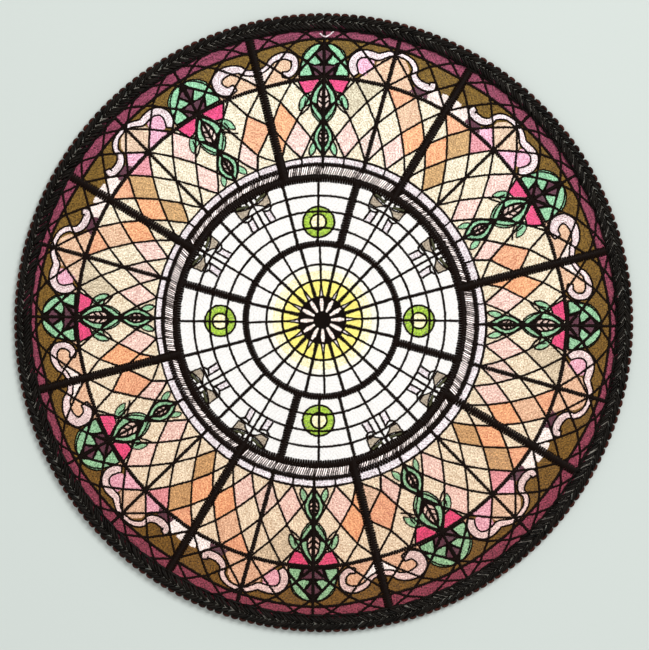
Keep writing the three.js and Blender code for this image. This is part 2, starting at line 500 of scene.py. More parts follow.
for start in range(0, 360, PART):
    field = sector(PALE_RING, skylight_ring, start, start + PART)
    fill("white", field, start // 90 * 90 + FIELD_LEAN, place=in_skylight)
for quarter in range(0, 360, 90):
    for degrees, width in SKYLIGHT_SPOKES.items():
        spoke("black_skylight", PALE_RING, skylight_ring, quarter + degrees, width, in_skylight)
for radius in SKYLIGHT_RINGS:
    ring("black_skylight", radius, SKYLIGHT_LINE, in_skylight)
ring("black_skylight", skylight_ring, SKYLIGHT_EDGE, in_skylight)

# %% [markdown]
# Four green rings with pale yellow hearts sit in the skylight, one on each main axis.
# A ring of one colour could be filled with straight rows, but satin across the ring's own width
# is how a narrow band is sewn, and it turns with the light all the way round.

# %% The four green rings
LIME_CENTRE, LIME_OUTER, LIME_INNER = 34.0, 5.3, 2.7
LIME_LINE = 0.65
circle = polar(1.0, np.arange(0, 360, 15.0))
lime_centre = np.array([0, LIME_CENTRE])

for quarter in range(0, 360, 90):
    carry = on_axis(quarter)
    outer, inner = (carry(circle * r + lime_centre) for r in (LIME_OUTER, LIME_INNER))
    band = carry(circle * (LIME_OUTER + LIME_INNER) / 2 + lime_centre)
    fill("nothing", outer, 0, level=2, place=in_skylight)
    fill("pale_yellow", inner, 30, level=3, place=in_skylight)
    satin("lime", band, LIME_OUTER - LIME_INNER, in_skylight, closed=True,
          base=FILL_BASE, crown=fill_top)
    for circle_line in (outer, inner):
        satin("black_skylight", circle_line, LIME_LINE, in_skylight, closed=True)

# %% [markdown]
# Under the thick ring stand eight small capitals: two beige lobes over two short pale columns,
# with a dark mass above them. Half of one is drawn, in its own axes, then mirrored and carried round.

# %% The capitals of the skylight
CAPITAL_LINE = 0.7
LOBE_LINE = 0.5
CAPITAL_LEAN = 40
CAPITAL_TOP = skylight_ring - 1.3
SPECK_CROWN = 2.3
MOSS_LINE, MOSS_WIDTH = ((1.6, 46.3), (5.6, 47.2)), 0.7
MASS = ((0, 45.3, 0), (6.4, 46.7, 0), (7.6, 47.2, 0), (7.9, CAPITAL_TOP, 0), (0, CAPITAL_TOP, 0))
LOBE = ((0.5, 45.3, -0.3), (6.4, 46.8, 0), (5.9, 43.3, 0), (3.2, 43.4, -0.3))
BOWL = ((2.1, 42.4, -1.1), (5.9, 42.8, 0))
PALE_COLUMN = ((2.4, 37.8, 0), (4.5, 37.8, 0), (4.3, 41.6, 0), (2.2, 41.8, 0))
COLUMN_LINES = (((2.35, 37.8), (2.1, 42.8)), ((4.65, 37.8), (4.4, 41.7)))
WHITE_SPECKS = ((((0.95, 46.1), (0.95, 47.4)), 0.85), (((2.3, 47.2), (3.5, 47.5)), 0.5))

for quarter in range(0, 360, 90):
    for degrees in (30, 60):
        for side in (1, -1):
            carry = on_axis(quarter + degrees, side)
            lean = quarter + degrees + CAPITAL_LEAN * side
            fill("black_skylight", carry(curved(MASS)), lean, level=1, place=in_skylight)
            fill("beige", carry(curved(LOBE)), lean, level=2, place=in_skylight)
            fill("rose_white", carry(curved(PALE_COLUMN)), lean, level=1, place=in_skylight)
            satin("moss", carry(MOSS_LINE), MOSS_WIDTH, in_skylight, crown=SPECK_CROWN)
            for path, width in WHITE_SPECKS:
                satin("white", carry(path), width, in_skylight, crown=SPECK_CROWN)
            for path in (*COLUMN_LINES, curved(BOWL, False)):
                satin("black_skylight", carry(path), CAPITAL_LINE, in_skylight)
            satin("black_skylight", carry(curved(LOBE)), LOBE_LINE, in_skylight, closed=True)
print("Sun and skylight planned:", len(regions), "filled shapes")

# %% [markdown]
# A ring of silver thread runs round the skylight, wide in four stretches and narrow in the others.
# Its threads all lean the same way and stand apart over black, so it sparkles.
# Outside it comes a narrow white band that is cut into little blocks.

# %% The silver ring and the white band
LATTICE_FOOT = 56.6
FIRST_BAR, SECOND_BAR, BAR_STEP = 15, 60, 45
BAR_CLEARANCE = 1.9
SILVER_PITCH, SILVER_STRAND, SILVER_LEAN = 0.74, 0.42, 1.3
SILVER_BASE, SILVER_CROWN = 2.12, outline_top - 0.12
WIDE_SILVER, WIDE_EDGE = (51.5, 2.9), (53.7, 1.6)
NARROW_SILVER, NARROW_EDGE = (51.3, 1.5), (53.0, 1.9)
EDGE_CROWN = outline_top - 0.08
BED_MARGIN, BED_BASE, BED_CROWN = 0.7, 1.95, 2.15
FOOT_LINE, BLOCK_LINE = 0.8, 0.6
BLOCK_STEP, BLOCK_LEAN = 7.5, 15
UNDER_SILVER = 2.6


def silver_stretch(begin, end, radius, width):
    """Slanting silver threads from bar to bar, over a flat black bed."""
    satin("silver", arc(radius, begin + BAR_CLEARANCE, end - BAR_CLEARANCE), width, base=SILVER_BASE,
          crown=SILVER_CROWN, pitch=SILVER_PITCH, slant=SILVER_LEAN, zigzag=False,
          strand=SILVER_STRAND)


for quarter in range(0, 360, 90):
    for start, silver, edge in ((SECOND_BAR, WIDE_SILVER, WIDE_EDGE),
                                (FIRST_BAR, NARROW_SILVER, NARROW_EDGE)):
        radius, width = silver
        edge_radius, edge_width = edge
        begin, end = quarter + start, quarter + start + BAR_STEP
        satin("black_rings", arc(radius, begin, end), width + BED_MARGIN, crown=BED_CROWN, base=BED_BASE)
        satin("black_rings", arc(edge_radius, begin, end), edge_width, crown=EDGE_CROWN)
        silver_stretch(begin, end, radius, width)
    spoke("black_rings", skylight_ring, silver_ring, quarter, BLOCK_LINE, crown=outline_top)
for start in range(0, 360, PART):
    band = sector(silver_ring - UNDER_SILVER, LATTICE_FOOT, start, start + PART)
    fill("rose_white", band, start + BLOCK_LEAN)
for degrees in np.arange(0, 360, BLOCK_STEP):
    spoke("black_rings", silver_ring, LATTICE_FOOT, degrees, BLOCK_LINE)
ring("black_rings", LATTICE_FOOT, FOOT_LINE)

# %% [markdown]
# The lattice is a net of diamonds. Its lines climb from 48 feet to both sides, straight from
# crossing to crossing, so a diamond's corners are simply the crossings round it.
# The colours repeat four times round, so one letter for each diamond of a quarter says them all.

# %% The lattice of diamonds
FEET = 48
ROWS = 4
FOOT_STEP = 360 / FEET
ROW_STEP = (lattice_head - LATTICE_FOOT) / ROWS
THREADS = {
    "c": "cream", "p": "pink", "o": "orange", "g": "gold", "l": "pale_pink", "a": "peach",
    "k": "khaki", "s": "salmon", "r": "rose", "h": "orchid", "w": "petal", "t": "tan",
}
ROW_COLOURS = ("cccccccccccc", "cpopcpcgcplp", "cosccccooccc", "cccccpcgcack", "ccccccrscskc")
BESIDE_BAR, BESIDE_BAR_LEAN = ("cream", "cream", "cream", "tan"), 40
MIDDLE_LEAN, LEAN_STEP = 30, 14
HEAD_LINE, LATTICE_LINE = 1.4, 0.74
SLIPPED = {(1, 1.5): (0.7, 0.3), (1, 2.5): (2.3, -1.3), (2, 3.0): (1.1, -1.5),
           (3, 1.5): (-0.1, 0.75), (3, 2.5): (1.6, -0.8)}


def crossing(row, steps):
    """A crossing of the net. Five in each quarter, beside the bar, slipped aside and in or out."""
    aside, out = SLIPPED.get((row, steps % 12), (0.0, 0.0))
    radius = LATTICE_FOOT + ROW_STEP * row + out
    return polar(radius, FOOT_STEP * steps + math.degrees(aside / radius))


def diamond(row, steps):
    """The diamond round a point of the net, cut off by the ring at the net's foot and head."""
    before, after = steps - 0.5, steps + 0.5
    if row == 0:
        foot = arc(LATTICE_FOOT, FOOT_STEP * before, FOOT_STEP * after)
        return np.concatenate([foot, [crossing(1, steps)]])
    if row == ROWS:
        head = arc(lattice_head, FOOT_STEP * before, FOOT_STEP * after)
        return np.concatenate([head, [crossing(ROWS - 1, steps)]])
    return np.array([crossing(row - 1, steps), crossing(row, after),
                     crossing(row + 1, steps), crossing(row, before)])


for row, colours in enumerate(ROW_COLOURS):
    for k in range(FEET):
        steps = k if row % 2 else k + 0.5
        lean = MIDDLE_LEAN + LEAN_STEP * ((k * 7 + row * 3) % 5 - 2)
        fill(THREADS[colours[k % 12]], diamond(row, steps), FOOT_STEP * steps + lean)
for steps, thread in zip(range(2, FEET, 12), BESIDE_BAR):
    half_diamond = [crossing(0, steps), crossing(2, steps), crossing(1, steps + 0.5)]
    fill(thread, half_diamond, FOOT_STEP * steps + BESIDE_BAR_LEAN, level=1)
for k in range(FEET):
    for side in (-1, 1):
        climb = [crossing(row, k + side * row / 2) for row in range(ROWS + 1)]
        satin("black_lattice", climb, LATTICE_LINE)
ring("black_rings", lattice_head, HEAD_LINE)

# %% [markdown]
# Above the lattice the same net runs on through the border, over olive ground with a plum rim.
# Its lowest panes, under the scrolls, are peach, orchid, white and tan.
# One fill for the whole ring would look too even, so each foot of the net gets panes of its own,
# whose rows lean a little further than their neighbours'.

# %% The border ground
BORDER_RADII = (lattice_head, 89.2, 94.9, 99.2, 102.2)
BORDER_RING = 97.6
RING_OUT = (0.0, -0.5, -0.3, -1.0, -1.7, -0.4)
RING_OUT_WAVES = (0.5, -0.15, 0.4, 0)
UNDER_BRAID = 1.4
BORDER_COLOURS = "aaaaahhwwatt"
OLIVE_LEANS, PLUM_LEAN, TRIANGLE_LEANS = (25, 45, 65), 70, (45, 70)
BORDER_LINE, BORDER_NET_LINE = 0.95, 0.8


def border_ring(degrees):
    """Where the olive meets the plum. Dense stitching has pulled this ring out of round."""
    out = on_axes(degrees, RING_OUT) + waves(degrees, *RING_OUT_WAVES)
    return polar(BORDER_RING + out, degrees)


for k in range(FEET):
    start, end = FOOT_STEP * k, FOOT_STEP * k + FOOT_STEP
    edge = border_ring(np.linspace(start, end, 6))
    olive_pane = np.concatenate([edge, arc(lattice_head, end, start)])
    plum_pane = np.concatenate([arc(braid_inside + UNDER_BRAID, start, end), edge[::-1]])
    peak = polar(BORDER_RADII[1], start + FOOT_STEP / 2)
    triangle = np.concatenate([arc(lattice_head, start, end), [peak]])
    fill("olive", olive_pane, start + OLIVE_LEANS[k % 3])
    fill("plum", plum_pane, start + PLUM_LEAN)
    fill(THREADS[BORDER_COLOURS[k % 12]], triangle, start + TRIANGLE_LEANS[k % 2], level=1)
    for side in (-1, 1):
        climb = [polar(radius, start + side * FOOT_STEP * row / 2)
                 for row, radius in enumerate(BORDER_RADII)]
        satin("black_border", climb, BORDER_NET_LINE)
satin("black_border", border_ring(ALL_ROUND), BORDER_LINE, closed=True)

# %% [markdown]
# The scrolls are pale bands that curl round coloured panes. A band is given by points along its
# middle, each with its own width there, and a smooth curve runs through them.
# Its thread runs along the band, so the rows follow the curl.

# %% The scrolls
SCROLL_LINE = 0.6
SCROLL_ROW = 0.4
SCROLL_STITCH = 2.0
SCROLL_BASE = FILL_BASE + 0.06
STRAND_OVERLAP = 1.2
BROAD_SCROLL, SLIM_SCROLL = 1.15, 0.8
BAR_SCROLL = ((15, 89.0, 1.1), (17.4, 90.3, 1.2), (18.5, 91.9, 1.7), (20.3, 92.8, 2.1),
              (22, 92.6, 2.4), (23.3, 91.3, 2.4), (23.6, 89.7, 2.2), (23.3, 87.6, 2.4),
              (22, 86.1, 2.1), (20.4, 86.6, 1.5))
LARGE_SCROLL = ((37.5, 85.4, 1.5), (36.6, 87.1, 2.4), (36.3, 89.5, 2.4), (36.9, 91.7, 2.1),
                (38.3, 93.0, 2.1), (40, 93.1, 2.1), (41.6, 92.8, 1.9), (42.7, 93.8, 1.5),
                (43.8, 94.8, 1.2), (45, 95.3, 1.0))
SMALL_SCROLL = ((45, 95.5, 1.0), (47.5, 95.0, 1.0), (49, 93.8, 1.4), (49.9, 92.1, 1.4),
                (50.1, 90.0, 1.7), (51.5, 88.3, 2.1), (53.5, 88.0, 2.2), (54.8, 88.8, 2.1),
                (54.5, 90.4, 1.5))


def smooth(values, steps=6):
    """A smooth run through rows of numbers, by the Catmull-Rom rule."""
    v = np.asarray(values, float)
    v = np.concatenate([[2 * v[0] - v[1]], v, [2 * v[-1] - v[-2]]])
    t = np.arange(steps)[:, None] / steps
    runs = []
    for a, b, c, d in zip(v, v[1:], v[2:], v[3:]):
        cubic = 3 * (b - c) + d - a
        runs.append(b + 0.5 * t * (c - a + t * (2 * a - 5 * b + 4 * c - d + t * cubic)))
    return np.concatenate(runs + [v[-2:-1]])


def scroll(knots, mirror=None, turn=0, breadth=1.0):
    """A curling band: its fill along the curl and its outline, cut out of what lies below."""
    if mirror is not None:
        knots = [(2 * mirror - angle, radius, width) for angle, radius, width in knots]
    run = smooth([(*polar(radius, angle + turn), width * breadth) for angle, radius, width in knots])
    path, width = run[:, :2], run[:, 2]
    along = np.gradient(path, axis=0)
    left = np.stack([-along[:, 1], along[:, 0]], axis=1) / np.linalg.norm(along, axis=1)[:, None]
    edges = [path + left * (width + SCROLL_LINE)[:, None] / 2 * side for side in (1, -1)]
    outline = np.concatenate([edges[0], edges[1][::-1]])
    fill("nothing", outline, 0, level=3)
    rows = max(int(round(width.mean() / SCROLL_ROW)), 2)
    strand = float(width.mean() / rows) * STRAND_OVERLAP
    for row in range(rows):
        share = (row + 0.5) / rows * 2 - 1
        line, _, _ = walk(path + left * (width * share / 2)[:, None], SCROLL_STITCH / 3)
        stops = in_window(np.concatenate([line[:1], line[1 + row % 3::3], line[-1:]]))
        sew("scroll", stops[:-1], stops[1:], SCROLL_BASE, fill_top, width=strand)
    satin("black_scrolls", outline, SCROLL_LINE, closed=True)


for quarter in range(0, 360, 90):
    scroll(BAR_SCROLL, None, quarter, BROAD_SCROLL)
    scroll(BAR_SCROLL, FIRST_BAR, quarter, SLIM_SCROLL)
    for mirror in (None, SECOND_BAR):
        scroll(LARGE_SCROLL, mirror, quarter)
        scroll(SMALL_SCROLL, mirror, quarter)

# %% [markdown]
# Inside the curls lie small panes. Their corners are given as angle and radius, for one side of
# each bar, and the other side is its mirror image, sometimes in another colour.

# %% Panes inside the curls
PANE_LEAN = 20
CURL_PANES = (
    ("peach", "peach", FIRST_BAR, ((18.75, 89.2), (18.9, 91.0), (20.3, 91.9), (21.8, 91.5),
                                   (22.6, 89.9), (22.4, 88.0), (21.3, 87.2), (20.0, 87.6))),
    ("petal", "petal", FIRST_BAR, ((15, 84.3), (15, 89.0), (17.4, 90.3), (18.5, 91.5), (18.75, 89.2))),
    ("orchid", "orchid", SECOND_BAR, ((37.9, 86.4), (37.5, 88.0), (37.4, 90.0), (38.0, 91.5),
                                      (39.2, 92.0), (40.8, 91.7), (41.25, 89.2), (39.5, 85.5))),
    ("tan", "peach", SECOND_BAR, ((45, 83.7), (41.25, 89.2), (41.6, 91.6), (43.5, 93.5),
                                  (45, 94.6), (47.3, 93.8), (48.75, 91.5), (48.9, 89.0))),
    ("dark_plum", "dark_plum", SECOND_BAR, ((50.2, 84.4), (54.9, 84.4), (54.5, 86.6), (51.2, 86.8))),
    ("petal", "petal", SECOND_BAR, ((60, 84.3), (57.2, 84.3), (57.6, 88.6), (60, 89.0))),
)

for quarter in range(0, 360, 90):
    lean = quarter + PANE_LEAN
    for near, far, mirror, corners in CURL_PANES:
        angles, radii = np.array(corners).T
        fill(near, polar(radii, angles + quarter), lean + angles[0], level=2)
        fill(far, polar(radii, 2 * mirror - angles + quarter), lean - angles[0], level=2)

# %% [markdown]
# On eight axes a garland of green leaves climbs through the lattice to a rosette.
# It could be drawn leaf by leaf, with a line round each. The real one reads the other way: a black
# ground with small coloured cells on it, so the cells are what is drawn, and black stays between them.
# The stitches of a cell end a little inside or outside its drawn edge, so one function grows outlines.

# %% Coloured cells on black
CELL_LINE = 0.5


def grown(outline, distance):
    """An outline moved outwards by a distance, or inwards where the distance is negative."""
    outline = np.asarray(outline, float)
    ahead = np.roll(outline, -1, axis=0)
    along = ahead - np.roll(outline, 1, axis=0)
    along /= np.maximum(np.linalg.norm(along, axis=1, keepdims=True), TINY)
    turning = np.sign((outline[:, 0] * ahead[:, 1] - ahead[:, 0] * outline[:, 1]).sum())
    return outline + np.stack([along[:, 1], -along[:, 0]], axis=1) * turning * distance


def whole(half):
    """Both sides of a shape whose half is given from its upper end to its lower end on the axis."""
    side = curved(half, False)
    return np.concatenate([side, (side * (-1, 1))[-2:0:-1]])


def cell(thread, outline, angle, inset=0.0, line=CELL_LINE, level=6):
    """A coloured cell, and the thin black line that holds down its edge."""
    outline = grown(outline, -inset)
    fill(thread, outline, angle, level)
    satin("black_garlands", grown(outline, line / 2), line, closed=True)


def black_ground(outline, angle):
    fill("black_garlands", outline, angle, level=5)
    satin("black_garlands", grown(outline, -CELL_LINE / 2), CELL_LINE, closed=True)


# %% [markdown]
# A garland is two black almonds, one above the other, each with a pale core and black veins,
# and with mint leaves round it. Loose leaves and two magenta petals lie beside them.
# Each cell is given once, as (across, outwards) corners, and mirrored. The garlands on the four main
# axes were stitched with bolder lines, so their cells are drawn out by less than the others'.

# %% The garlands
BOLD_INSET, FINE_INSET = -0.12, -0.32
BOLD_STEM, FINE_STEM = 1.4, 0.75
STEM_FOOT, STEM_HEAD, STEM_CROWN = 57.0, 84.0, 2.42
ALMONDS = (((0, 82.9, 4.5), (0, 67.8, 0)), ((0, 68.8, 3.4), (0, 57.0, 0)))
CORES = (((0, 81.0, 1.9), (0, 71.2, 0)), ((0, 66.6, 1.5), (0, 59.8, 0)))
VEINS = ((72.3, 74.3, 76.3), (60.7, 62.2, 63.7))
VEIN_REACH, VEIN_CLIMB = (1.8, 1.4), 0.9
VEIN_ROOT, VEIN_TIP = 0.9, 0.7
LEAVES = (
    ((0.6, 82.2, 0.6), (3.9, 75.6, 0), (2.4, 75.0, -0.5), (0.5, 81.2, 0)),
    ((4.1, 74.8, 0.85), (0.7, 68.5, 0), (0.45, 71.2, 0.2)),
    ((0.5, 67.9, 2.3), (0.5, 58.2, 0), (0.5, 59.6, -1.4), (0.5, 66.7, 0)),
)
SIDE_LEAF = ((5.6, 78.4, 1.1), (8.0, 72.9, -0.3), (4.7, 75.0, 0.2))
FOOT_LEAF = ((2.9, 61.8, 0.85), (4.2, 57.1, 0.85))
MAGENTA_PETAL = ((1.5, 83.1, 0), (8.6, 82.5, 0), (6.1, 78.5, 0), (4.0, 79.4, -0.2))
SIDE_VEIN, SIDE_VEIN_WIDTH = ((6.1, 76.8), (6.6, 74.2)), 0.45
SIDE_SHADE = ((4.5, 74.5, -0.3), (8.2, 71.2, 0))
LOOSE_LINE = 0.65
PETAL_LEAN, LOOSE_LEAN, LEAF_LEAN, ALMOND_LEAN, CORE_LEAN = 70, 25, 15, 80, 12


def loose_cells(degrees, side, inset):
    """The petal, the leaves and the shade that lie beside the almonds."""
    carry = on_axis(degrees, side)
    lean = degrees + PETAL_LEAN * side
    cell("magenta", carry(curved(MAGENTA_PETAL)), lean, inset, LOOSE_LINE, level=4)
    lean = degrees + LOOSE_LEAN * side
    for leaf in (SIDE_LEAF, FOOT_LEAF):
        cell("mint", carry(curved(leaf)), lean, 0, LOOSE_LINE + inset, level=4)
    satin("black_garlands", carry(SIDE_VEIN), SIDE_VEIN_WIDTH)
    satin("black_garlands", carry(curved(SIDE_SHADE, False)), (0.5, 0.9 + inset, 0.7, 0.5))


def garland(degrees, inset, stem_width):
    for side in (1, -1):
        loose_cells(degrees, side, inset)
    for almond, core, heights, reach in zip(ALMONDS, CORES, VEINS, VEIN_REACH):
        black_ground(on_axis(degrees)(whole(almond)), degrees + ALMOND_LEAN)
        cell("blush", on_axis(degrees)(whole(core)), degrees + CORE_LEAN)
        for side in (1, -1):
            for height in heights:
                vein = on_axis(degrees, side)([(0, height), (reach, height + reach * VEIN_CLIMB)])
                satin("black_garlands", vein, (VEIN_ROOT + inset, VEIN_TIP + inset))
    for side in (1, -1):
        for leaf in LEAVES:
            cell("mint", on_axis(degrees, side)(curved(leaf)), degrees + LEAF_LEAN * side, inset)
    spoke("black_garlands", STEM_FOOT, STEM_HEAD, degrees, stem_width, crown=STEM_CROWN)


for quarter in range(0, 360, 90):
    garland(quarter, BOLD_INSET, BOLD_STEM)
    garland(quarter + 30, FINE_INSET, FINE_STEM)

# %% [markdown]
# A rosette closes each garland above the ring: a black dome with mint crescents at its rim,
# mint panes below them, and a flower of dark plum. The border's net runs on between its cells.

# %% The rosettes
DOME_FOOT, DOME_HALF_WIDTH, DOME_HEIGHT = 85.4, 8.7, 10.5
ROSETTE_CELLS = (
    ("mint", ((1.5, 95.0, 0.9), (7.2, 90.9, 0), (6.0, 90.0, 0), (2.4, 93.8, 0))),
    ("mint", ((3.2, 91.2, 0), (5.1, 89.1, 0), (3.0, 88.4, 0), (1.4, 88.6, 0))),
    ("mint", ((5.6, 88.6, 0), (7.9, 85.8, 0), (8.1, 84.8, 0), (4.2, 84.8, 0))),
    ("mint", ((6.9, 90.0, 0), (7.6, 87.8, 0), (6.3, 89.1, 0))),
    ("dark_plum", ((0, 93.8, 0), (2.3, 92.1, 0), (0.1, 88.9, 0))),
    ("dark_plum", ((3.9, 87.8, 0), (0.3, 87.5, 0), (0.3, 84.7, 0), (2.7, 84.7, 0))),
)
PETAL_VEIN = ((0.4, 84.9), (3.4, 87.3))
PANE_GROWTH, PANE_LINE = 0.2, 0.4
DOME_LEAN, CELL_LEAN = 60, 30


def rosette(degrees, inset):
    dome = arc(1.0, -8, 188, 7) * (DOME_HALF_WIDTH, DOME_HEIGHT) + np.array([0, DOME_FOOT])
    black_ground(on_axis(degrees)(dome), degrees + DOME_LEAN)
    for side in (1, -1):
        lean = degrees + CELL_LEAN * side
        for thread, corners in ROSETTE_CELLS:
            cell(thread, on_axis(degrees, side)(curved(corners)), lean, inset, PANE_LINE)
        satin("black_garlands", on_axis(degrees, side)(PETAL_VEIN), PANE_LINE)


for quarter in range(0, 360, 90):
    rosette(quarter, BOLD_INSET - PANE_GROWTH)
    rosette(quarter + 30, FINE_INSET - PANE_GROWTH)

# %% [markdown]
# Last come the long bars, which lie over all the rest: eight broad ones, and between them
# thinner ones, half of which run along the garlands.
# Each is a single satin line, so it could be a plain strip, but the light on its stitches
# is what sets the broad bars off from the flat black grounds.

# %% The bars
BAR_LINE = 3.1
BAR_REACH = braid_inside + 1.2
THIN_BARS = ((0, 1.0, 2.44), (30, 1.0, 2.44), (45, 1.15, 2.42), (75, 1.5, 2.42))

for degrees in range(FIRST_BAR, 360, BAR_STEP):
    spoke("black_bars", skylight_ring, BAR_REACH, degrees, BAR_LINE, crown=outline_top)
for quarter in range(0, 360, 90):
    for degrees, width, crown in THIN_BARS:
        spoke("black_bars", skylight_ring, BAR_REACH, quarter + degrees, width, crown=crown)

# %% [markdown]
# A loose end of pale thread lies on the plum rim at the top, where the last length was not trimmed.
# With it in place, all is planned, and each filled shape is sewn with the shapes above it cut out.

# %% Sew all the filled shapes
LOOSE_END = np.array([(-1.3, 99.1), (-0.4, 98.2), (0.7, 97.8), (1.9, 98.4), (3.4, 99.7)])
LOOSE_BASE = outline_top - 0.2
sew("scroll", LOOSE_END[:-1], LOOSE_END[1:], LOOSE_BASE, outline_top, SHORT_STATIONS)

for region in regions:
    if region["thread"] == "nothing":
        continue
    over = [c for c in regions if c["level"] > region["level"] and c["place"] is region["place"]
            and overlaps(region, c)]
    sew_region(region, over)
for thread, batches in sorted(sewn.items()):
    print(f"{thread}: {sum(len(batch[0]) for batch in batches)} stitches")

# %% [markdown]
# Rayon thread is smooth and slightly see-through, with a soft broad shine, and no two lengths
# lie quite alike. So the colour shifts a little from stitch to stitch, drifts slowly across the
# cloth, and the two twisted plies give each thread a fine slanting ripple.
# All the threads share this, so it is a node group with its own inputs, built once.
# A few helpers come first, because a group made by hand needs a line for every link.

# %% Helpers for node trees
def new_group(name, inputs, outputs):
    """An empty node group with named sockets. inputs are (name, kind, value), outputs (name, kind)."""
    group = bpy.data.node_groups.new(name, "ShaderNodeTree")
    for label, kind, value in inputs:
        socket = group.interface.new_socket(label, in_out="INPUT", socket_type="NodeSocket" + kind)
        socket.default_value = value
    for label, kind in outputs:
        group.interface.new_socket(label, in_out="OUTPUT", socket_type="NodeSocket" + kind)
    return group


def node(tree, kind, label=None, **settings):
    made = tree.nodes.new(kind)
    made.label = label or ""
    for name, value in settings.items():
        setattr(made, name, value)
    return made


def maths(tree, operation, a, b, label=None):
    """A Math node. a and b are sockets or numbers."""
    made = node(tree, "ShaderNodeMath", label, operation=operation)
    for slot, value in enumerate((a, b)):
        if isinstance(value, (int, float)):
            made.inputs[slot].default_value = value
        else:
            tree.links.new(value, made.inputs[slot])
    return made.outputs[0]


def noise(tree, place, scale, detail, label):
    """An even noise over the cloth, from 0 to 1."""
    made = node(tree, "ShaderNodeTexNoise", label)
    made.inputs["Scale"].default_value = scale
    made.inputs["Detail"].default_value = detail
    tree.links.new(place, made.inputs["Vector"])
    return made.outputs["Fac"]


def colour_mix(tree, share, first, second, label, **settings):
    """Two colours mixed by a share. Each may be a socket or a colour."""
    made = node(tree, "ShaderNodeMix", label, data_type="RGBA", **settings)
    tree.links.new(share, made.inputs["Factor"])
    for slot, colour in ((6, first), (7, second)):
        if isinstance(colour, tuple):
            made.inputs[slot].default_value = colour
        else:
            tree.links.new(colour, made.inputs[slot])
    return made.outputs[2]


# %% [markdown]
# A thread's colour is made lighter or darker for four reasons: its stitch lies at another angle, the
# place has faded, a fibre glints, which is a painted glint, or the spot lies deep, at the thread's edge
# or at a needle hole, which is painted shade.
# The first three go both ways and the last one only darkens, and all are simply added up.

# %% Shades of a thread
DRIFT_SCALE, DRIFT_DETAIL = 60.0, 2.0
FIBRE_SCALE, FIBRE_DETAIL = 2100.0, 1.5
SHADE_POWER, EDGE_SHADE = 3.0, 0.3


def swing(tree, value, amount, label):
    """A value from 0 to 1 as a shade that goes both ways round nothing."""
    return maths(tree, "MULTIPLY", maths(tree, "SUBTRACT", value, 0.5), amount, label)


def thread_shade(group, given, tone, place, edge):
    """How much lighter or darker than its colour each spot of the thread is."""
    slow = noise(group, place, DRIFT_SCALE, DRIFT_DETAIL, "Slow drift over the cloth")
    # Painted glints: fine random specks of the colour are made lighter or darker.
    fine = noise(group, place, FIBRE_SCALE, FIBRE_DETAIL, "Painted glints of single fibres")
    stitch = swing(group, tone, given["Stitch Variation"], "Lighter or darker stitch")
    drift = swing(group, slow, given["Drift"], "Lighter or darker place")
    speck = swing(group, fine, given["Grain"], "Lighter or darker speck")
    lively = maths(group, "ADD", maths(group, "ADD", stitch, drift), speck, "All variation")
    # Painted shade where the thread lies deep, at its edges and at the needle holes.
    rim = maths(group, "ABSOLUTE", edge, 0.0)
    rim = maths(group, "POWER", rim, SHADE_POWER, "Edge of the thread")
    dip = node(group, "ShaderNodeAttribute", "Where the thread dives in", attribute_name="dip")
    hole = maths(group, "POWER", dip.outputs["Fac"], SHADE_POWER)
    hole = maths(group, "MULTIPLY", hole, given["Dip Shade"], "Shade at the needle holes")
    rim_shade = maths(group, "MULTIPLY", rim, EDGE_SHADE)
    depth = maths(group, "ADD", rim_shade, hole, "Shade between the threads")
    return maths(group, "SUBTRACT", lively, depth, "All shades")


# %% [markdown]
# The lower half of the cloth is painted darker and warmer than the upper one, more so towards the bottom:
# painted shade, because the thread there catches less of the lamp's sheen. Painting that on would need a
# picture, so the place on the cloth itself says how much of this painted shade tint each spot takes.
# The group ends with the ripple of the two plies, which only a bump needs, and with a roughness
# that differs a little from stitch to stitch.

# %% A node group for twisted thread
# Painted shade: between these heights, in millimetres, the tint grows from none at the top to full at the
# bottom.
LOWER_SHADE_FROM, LOWER_SHADE_TO = 100.0, -100.0
TWIST_PER_MM, TWIST_SLANT = 9.0, 1.2
SMOOTHEST, ROUGHER_BY = 0.36, 0.14
WHITE, BLACK = (1, 1, 1, 1), (0, 0, 0, 1)
# The third input is the tint of the painted shade towards the bottom of the cloth.
THREAD_INPUTS = (
    ("Colour", "Color", WHITE), ("Shadow Colour", "Color", BLACK), ("Lower Shade Tint", "Color", WHITE),
    ("Stitch Variation", "Float", 0.12), ("Drift", "Float", 0.1), ("Grain", "Float", 0.5),
    ("Dip Shade", "Float", 0.4), ("Twist Depth", "Float", 0.5),
)
THREAD_OUTPUTS = (("Colour", "Color"), ("Height", "Float"), ("Roughness", "Float"))


def lower_shade_share(group, place):
    """How much painted shade a spot takes, from 0 at the cloth's top to 1 at its bottom."""
    where = node(group, "ShaderNodeSeparateXYZ", "Where on the cloth")
    group.links.new(place, where.inputs[0])
    age = node(group, "ShaderNodeMapRange", "Share of painted shade lower down")
    age.inputs["From Min"].default_value = LOWER_SHADE_FROM * MM
    age.inputs["From Max"].default_value = LOWER_SHADE_TO * MM
    group.links.new(where.outputs["Y"], age.inputs["Value"])
    return age.outputs["Result"]


def ply_ripple(group, along, edge):
    """The slanting ripple of the two plies."""
    phase = maths(group, "MULTIPLY", along, TWIST_PER_MM, "Turns of the twist")
    slant = maths(group, "MULTIPLY", edge, TWIST_SLANT)
    return maths(group, "SINE", maths(group, "ADD", phase, slant, "Slant"), 0.0, "Ripple of the plies")


